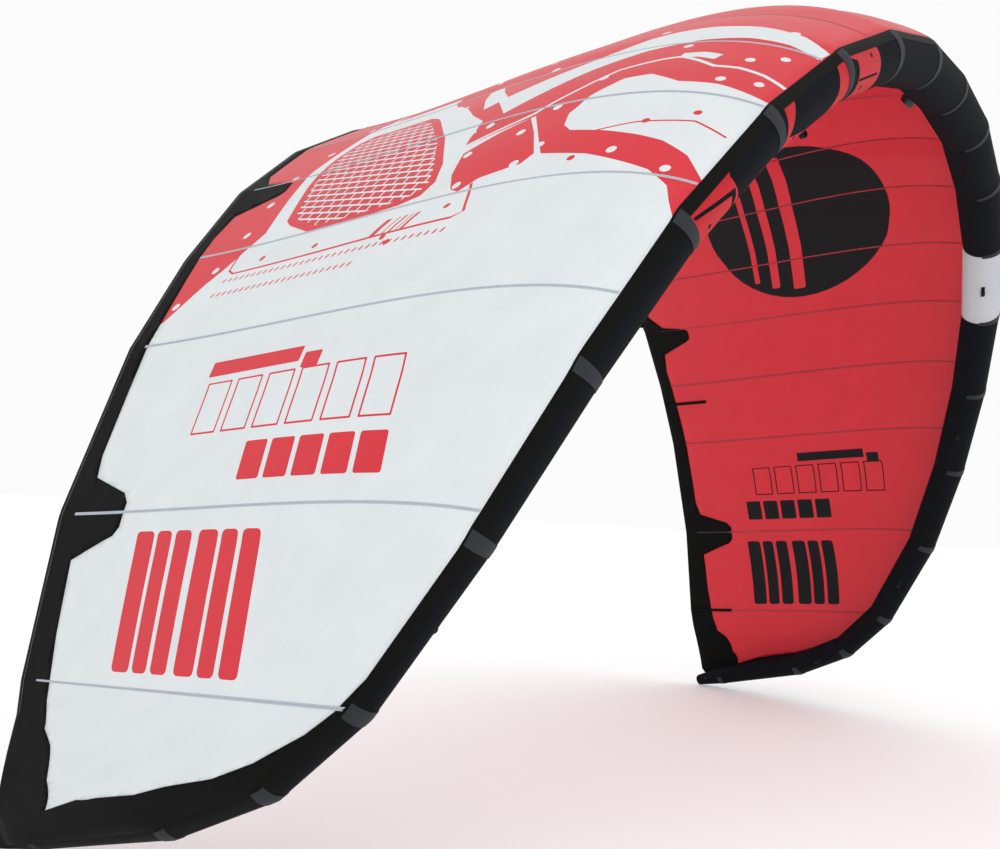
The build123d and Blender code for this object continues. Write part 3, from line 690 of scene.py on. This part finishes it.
canopy = part_of_skin("canopy_cloth", (WHITE, RED, BLACK, GRATING), 0.0008, -1)
for made in (white_cloth, red_cloth, black_cloth, grating_cloth):
    canopy.data.materials.append(made)
band = part_of_skin("trailing_band_and_tips", (BAND,), 0.0014, -0.6)
for made in (white_cloth, red_cloth, black_cloth, grating_cloth, band_cloth):
    band.data.materials.append(made)
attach(canopy, "kite")
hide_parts(*[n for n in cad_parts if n.startswith("canopy_panel")])
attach(band, "kite")
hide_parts("trailing_band_left", "trailing_band_right", "wingtip_patch_left", "wingtip_patch_right", "batten_patches")
bpy.data.meshes.remove(skin_mesh)

# ---------------------------------------------------------------------------------------------
# Canopy seams: neighbouring panels are lapped and sewn flat, a narrow doubled strip that shows on
# both faces, pale blue-grey on the white cloth and a deeper red on the red cloth.
# ---------------------------------------------------------------------------------------------
SEAM_WIDTH = 0.007


def slab(name, place, us, vs, low, high, uv_of, material):
    """A thin closed piece over a grid: place(u, v, proud) between two heights, with its own cloth UV."""
    rows, columns = len(us), len(vs)
    spots = [tuple(place(u, v, height)) for height in (low, high) for u in us for v in vs]
    faces = []
    layer_size = rows * columns
    for i in range(rows - 1):
        for j in range(columns - 1):
            a = i * columns + j
            faces.append((a, a + 1, a + columns + 1, a + columns))
            faces.append(tuple(layer_size + q for q in (a, a + columns, a + columns + 1, a + 1)))
    rim = [j for j in range(columns)] + [i * columns + columns - 1 for i in range(1, rows)]
    rim += [(rows - 1) * columns + j for j in range(columns - 2, -1, -1)]
    rim += [i * columns for i in range(rows - 2, 0, -1)]
    for p, q in zip(rim, rim[1:] + rim[:1]):
        faces.append((p, q, q + layer_size, p + layer_size))
    mesh = bpy.data.meshes.new(name)
    mesh.from_pydata(spots, [], faces)
    layer = mesh.uv_layers.new(name="cloth")
    flats = [uv_of(u, v) for u in us for v in vs] * 2
    for corner in mesh.loops:
        layer.data[corner.index].uv = flats[corner.vertex_index]
    mesh.materials.append(material)
    made = show(mesh, name)
    face_outward(made, 0.000001)
    return made


def as_one(name, pieces):
    """Joins several objects into one piece."""
    with bpy.context.temp_override(active_object=pieces[0], selected_editable_objects=pieces):
        bpy.ops.object.join()
    pieces[0].name = name
    return pieces[0]


seam_grey = cloth_material("pale_seam_cloth", (0.46, 0.51, 0.56), 180, 0.3, 0.4, 0.5, 0.25)
seam_red = cloth_material("deep_red_seam_cloth", (0.34, 0.008, 0.016), 180, 0.3, 0.4, 0.5, 0.25)
seam_places = sorted(float(np.interp(k, stations, span_at)) for k in SEAMS)
seams = []
for side in (-1, 1):
    for x in seam_places:
        pale = side < 0 and x > 1.07
        back = FLAT_CHORD * (1 - 0.06 / chord_at(x))
        seams.append(
            slab(
                "seam",
                lambda u, v, proud: skin_spot(v, u, proud),
                np.linspace(0.002, back, 60),
                [side * x - SEAM_WIDTH / 2, side * x + SEAM_WIDTH / 2],
                -0.0004,
                0.0012,
                lambda u, v: (v, u),
                seam_grey if pale else seam_red,
            )
        )
seam_strips = as_one("canopy_seams", seams)
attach(seam_strips, "kite")

# ---------------------------------------------------------------------------------------------
# Stitching: zigzag polyester thread along every canopy seam and along the trailing band's hem.  The
# needle's steps repeat evenly, so the thread is grown along each sewing line.
# ---------------------------------------------------------------------------------------------
stitch_tree = bpy.data.node_groups.new("zigzag_thread", "GeometryNodeTree")
stitch_tree.interface.new_socket("Geometry", in_out="INPUT", socket_type="NodeSocketGeometry")
for socket_name, value in (("Pitch", 0.006), ("Width", 0.0016), ("Thread radius", 0.00035)):
    made = stitch_tree.interface.new_socket(socket_name, in_out="INPUT", socket_type="NodeSocketFloat")
    made.default_value = value
stitch_tree.interface.new_socket("Material", in_out="INPUT", socket_type="NodeSocketMaterial")
stitch_tree.interface.new_socket("Geometry", in_out="OUTPUT", socket_type="NodeSocketGeometry")
sewn = stitch_tree.nodes.new("NodeGroupInput").outputs
lines = step_in(stitch_tree, "GeometryNodeMeshToCurve", {"Mesh": sewn["Geometry"]})
even = step_in(stitch_tree, "GeometryNodeResampleCurve", mode="LENGTH")
stitch_tree.links.new(lines.outputs[0], even.inputs["Curve"])
stitch_tree.links.new(sewn["Pitch"], even.inputs["Length"])
across = step_in(stitch_tree, "GeometryNodeInputNamedAttribute", {"Name": "across"}, data_type="FLOAT_VECTOR")
index = stitch_tree.nodes.new("GeometryNodeInputIndex").outputs[0]
parity = step_in(stitch_tree, "ShaderNodeMath", {0: index, 1: 2.0}, operation="MODULO").outputs[0]
swing = step_in(stitch_tree, "ShaderNodeMath", {0: parity, 1: -0.5}, operation="ADD").outputs[0]
swing = step_in(stitch_tree, "ShaderNodeMath", {0: swing, 1: sewn["Width"]}, operation="MULTIPLY").outputs[0]
offset = step_in(stitch_tree, "ShaderNodeVectorMath", {0: across.outputs[0], "Scale": swing}, operation="SCALE")
moved = step_in(stitch_tree, "GeometryNodeSetPosition", {"Geometry": even.outputs[0], "Offset": offset.outputs[0]})
round_thread = step_in(stitch_tree, "GeometryNodeCurvePrimitiveCircle", {"Resolution": 3, "Radius": sewn["Thread radius"]})
thread = step_in(stitch_tree, "GeometryNodeCurveToMesh", {"Curve": moved.outputs[0], "Profile Curve": round_thread.outputs[0]})
solid_thread = step_in(stitch_tree, "GeometryNodeRealizeInstances", {"Geometry": thread.outputs[0]})
inked = step_in(stitch_tree, "GeometryNodeSetMaterial", {"Geometry": solid_thread.outputs[0], "Material": sewn["Material"]})
finished = stitch_tree.nodes.new("NodeGroupOutput")
stitch_tree.links.new(inked.outputs[0], finished.inputs["Geometry"])


def sew(name, lines_of_points, material, pitch=0.006):
    """Grows thread along lines; each line is a list of (point, direction across the line)."""
    spots, edges, ways = [], [], []
    for line in lines_of_points:
        first = len(spots)
        for spot, way in line:
            spots.append(tuple(spot))
            ways += list(way)
        edges += [(k, k + 1) for k in range(first, len(spots) - 1)]
    path = bpy.data.meshes.new(name + "_path")
    path.from_pydata(spots, edges, [])
    path.attributes.new("across", "FLOAT_VECTOR", "POINT").data.foreach_set("vector", ways)
    guide = show(path)
    grown = guide.modifiers.new("thread", "NODES")
    grown.node_group = stitch_tree
    sockets = {i.name: i.identifier for i in stitch_tree.interface.items_tree if i.in_out == "INPUT"}
    grown[sockets["Pitch"]] = pitch
    grown[sockets["Width"]] = 0.0032
    grown[sockets["Thread radius"]] = 0.00035
    grown[sockets["Material"]] = material
    graph = bpy.context.evaluated_depsgraph_get()
    mesh = bpy.data.meshes.new_from_object(guide.evaluated_get(graph), depsgraph=graph)
    bpy.data.objects.remove(guide)
    return show(mesh, name)


def thread_material(name, colour):
    """Spun polyester thread with a faint sheen and an uneven dye."""
    made = bpy.data.materials.new(name)
    made.use_nodes = True
    inner = made.node_tree
    shader = inner.nodes["Principled BSDF"]
    where = inner.nodes.new("ShaderNodeTexCoord").outputs["Object"]
    fleck = step_in(inner, "ShaderNodeTexNoise", {"Vector": where, "Scale": 300.0})
    tone = step_in(inner, "ShaderNodeMapRange", {"Value": fleck.outputs["Fac"], "To Min": 0.8, "To Max": 1.1})
    dyed = step_in(inner, "ShaderNodeVectorMath", {0: colour, "Scale": tone.outputs[0]}, operation="SCALE")
    inner.links.new(dyed.outputs[0], shader.inputs["Base Color"])
    shader.inputs["Roughness"].default_value = 0.55
    return made


grey_thread = thread_material("grey_thread", (0.42, 0.46, 0.50))
sewing = []
for side in (-1, 1):
    for x in seam_places:
        for face in (-0.0006, 0.0014):
            line = []
            for y in np.linspace(0.004, FLAT_CHORD * (1 - 0.06 / chord_at(x)), 70):
                here = skin_spot(side * x, y, face)
                line.append((here, unit(skin_spot(side * (x + 0.01), y, face) - here)))
            sewing.append(line)
hem = []
for x in np.linspace(-3.0, 3.0, 260):
    flat_y = FLAT_CHORD * (1 - 0.012 / chord_at(x))
    here = skin_spot(x, flat_y, -0.0012)
    hem.append((here, unit(skin_spot(x, flat_y - 0.02, -0.0012) - here)))
sewing.append(hem)
stitching = sew("canopy_stitching", sewing, grey_thread)
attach(stitching, "kite")

# ---------------------------------------------------------------------------------------------
# Border strip: a black strip as wide as two fingers, laid on the tube along the canopy's front edge
# from wingtip to wingtip, so the tube shows black where the canopy leaves it.
# ---------------------------------------------------------------------------------------------
BORDER_WIDTH = 0.030


def border_angle(station, share):
    start = ENTRY_ANGLE + ENTRY_ANGLE_CENTRE * max(0, 1 - station / CAMBER_FADE)
    return start + 0.5 + math.degrees(BORDER_WIDTH * share / tube_radius(station))


border_stations = [s for s in casing_stations(0, JOINTS) if s <= 11.5]
borders = [
    slab(
        "border",
        lambda u, v, proud: on_tube(u, side, border_angle(u, v), proud),
        border_stations,
        np.linspace(0, 1, 7),
        0.0002,
        0.0009,
        lambda u, v: (u * 0.3, v * BORDER_WIDTH),
        band_cloth,
    )
    for side in (-1, 1)
]
border_strip = as_one("border_strip", borders)
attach(border_strip, "kite")

# ---------------------------------------------------------------------------------------------
# Bumper straps: scuff strips of grey coated webbing cloth over the front of every tube joint, each
# wrapped from beside the canopy's edge to the inner side and sewn down along both long edges.
# ---------------------------------------------------------------------------------------------
STRAP_HALF_WIDTH = 0.0125
strap_cloth = cloth_material("scuff_strap_cloth", (0.026, 0.031, 0.036), 420, 0.7, 0.3, 0.6, 0.2)
straps = []
for k in range(JOINTS):
    reach = (STRAP_HALF_WIDTH / SEGMENT_LENGTHS[max(k - 1, 0)], STRAP_HALF_WIDTH / SEGMENT_LENGTHS[k])
    start = ENTRY_ANGLE + ENTRY_ANGLE_CENTRE * max(0, 1 - k / CAMBER_FADE) + 5
    turns = np.linspace(start, 172, 40)
    if k == 0:
        spans = [(1, [-reach[1], 0.0, reach[1]])]
    else:
        spans = [(side, [k - reach[0], float(k), k + reach[1]]) for side in (-1, 1)]
    for side, along_tube in spans:
        straps.append(
            slab(
                "strap",
                lambda u, v, proud: on_tube(abs(v), side if v >= 0 else -side, u, proud),
                turns,
                along_tube,
                0.0003,
                0.0013,
                lambda u, v: (v * 0.3, math.radians(u) * 0.06),
                strap_cloth,
            )
        )
bumper_straps = as_one("bumper_straps", straps)
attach(bumper_straps, "kite")
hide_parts("bumper_strips")

# ---------------------------------------------------------------------------------------------
# Batten pockets: short black sleeves on the inner face at the trailing edge, sewn on three sides.
# Each holds a flat plastic batten that keeps the edge from fluttering and cannot be seen.
# ---------------------------------------------------------------------------------------------
pockets = []
for side in (-1, 1):
    for station in (1, 5, 8):
        x = float(np.interp(station, stations, span_at))
        edge = chord_at(x)
        pockets.append(
            slab(
                "pocket",
                lambda u, v, proud: skin_spot(v, u, proud),
                np.linspace(FLAT_CHORD * (1 - 0.216 / edge), FLAT_CHORD * (1 - 0.010 / edge), 24),
                [side * x - 0.009, side * x - 0.003, side * x + 0.003, side * x + 0.009],
                0.0004,
                0.0050,
                lambda u, v: (v, u),
                band_cloth,
            )
        )
batten_pockets = as_one("batten_pockets", pockets)
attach(batten_pockets, "kite")
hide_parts("battens")

# ---------------------------------------------------------------------------------------------
# Line loops: folded polyester webbing, a flat tab sewn to the inner side of the tube with a small
# round eye standing from it, eight for the front lines and one at each wingtip for a back line.
# ---------------------------------------------------------------------------------------------
webbing_cloth = cloth_material("black_webbing", (0.012, 0.012, 0.013), 700, 1.0, 0.2, 0.65, 0.2)


def webbing_loop(station, side, angle):
    """The tab and the eye of one loop, in the plane of the tube's length and its radius."""
    centre, along, aft, out = tube_frame(station)
    a = math.radians(angle)
    radial = out * math.cos(a) - aft * math.sin(a)
    near, far = station - 0.1, station + 0.1
    fall = tube_radius(near) - tube_radius(far)
    fall /= float(np.linalg.norm(on_line(joint_points, far) - on_line(joint_points, near)))
    along, radial = unit(along - radial * fall), unit(radial + along * fall)
    wide = unit(np.cross(along, radial))
    base = tube_radius(station) + 0.0003
    flip = np.array((side, 1, 1))

    def at(run, height, over):
        return (centre + along * run + radial * height + wide * over) * flip + TUBE_MIDDLE

    tab = slab(
        "tab", lambda u, v, proud: at(u, base + proud, v), np.linspace(-0.022, 0.022, 9), [-0.006, 0, 0.006],
        0.0, 0.002, lambda u, v: (u, v), webbing_cloth,
    )
    eye = slab(
        "eye",
        lambda u, v, proud: at(math.sin(u) * (0.007 + proud), base + 0.009 - math.cos(u) * (0.007 + proud), v),
        np.linspace(0.0, 2 * math.pi - 0.0001, 33), [-0.006, 0, 0.006],
        0.0, 0.002, lambda u, v: (u * 0.008, v), webbing_cloth,
    )
    return [tab, eye]


for loops_name, spots in (
    ("front_line_loops", [(s + 0.5, side, 165) for s in (3, 5, 7, 9) for side in (-1, 1)]),
    ("back_line_loops", [(11.45, side, 180) for side in (-1, 1)]),
):
    woven = as_one("webbing_" + loops_name, [piece for spot in spots for piece in webbing_loop(*spot)])
    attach(woven, "kite")
    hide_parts(loops_name)

# ---------------------------------------------------------------------------------------------
# Inflation valve and bladder: moulded black polyurethane base, collar and cap, a soft clear flap
# behind them, a steel hinge pin, and the thin translucent bladder welded to the base.
# ---------------------------------------------------------------------------------------------
def moulded(name, colour, roughness, grain, metallic=0.0):
    """A smooth moulded or drawn material with a fine uneven surface."""
    made = bpy.data.materials.new(name)
    made.use_nodes = True
    inner = made.node_tree
    shader = inner.nodes["Principled BSDF"]
    where = inner.nodes.new("ShaderNodeTexCoord").outputs["Object"]
    fleck = step_in(inner, "ShaderNodeTexNoise", {"Vector": where, "Scale": grain, "Detail": 3.0})
    tone = step_in(inner, "ShaderNodeMapRange", {"Value": fleck.outputs["Fac"], "To Min": 0.9, "To Max": 1.1})
    dyed = step_in(inner, "ShaderNodeVectorMath", {0: colour, "Scale": tone.outputs[0]}, operation="SCALE")
    rough = step_in(inner, "ShaderNodeMapRange", {"Value": fleck.outputs["Fac"], "To Min": roughness - 0.06, "To Max": roughness + 0.06})
    bump = step_in(inner, "ShaderNodeBump", {"Height": fleck.outputs["Fac"], "Distance": 0.0001, "Strength": 0.5})
    inner.links.new(dyed.outputs[0], shader.inputs["Base Color"])
    inner.links.new(rough.outputs[0], shader.inputs["Roughness"])
    inner.links.new(bump.outputs[0], shader.inputs["Normal"])
    shader.inputs["Metallic"].default_value = metallic
    return made


valve_plastic = moulded("valve_polyurethane", (0.018, 0.018, 0.020), 0.42, 400.0)
flap_rubber = moulded("valve_flap_rubber", (0.30, 0.31, 0.32), 0.35, 300.0)
pin_steel = moulded("hinge_pin_steel", (0.58, 0.58, 0.60), 0.3, 900.0, 1.0)
bladder_film = moulded("bladder_film", (0.55, 0.57, 0.60), 0.25, 60.0)
for node_name, made in (
    ("valve_base", valve_plastic),
    ("valve_collar", valve_plastic),
    ("valve_cap", valve_plastic),
    ("valve_flap", flap_rubber),
    ("valve_hinge_pin", pin_steel),
    ("bladder", bladder_film),
):
    node_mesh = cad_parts[node_name].data
    node_mesh.materials.clear()
    node_mesh.materials.append(made)

size = {"cad": [list(cad_box[0]), list(cad_box[1])], "visual": [list(v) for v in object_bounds()]}
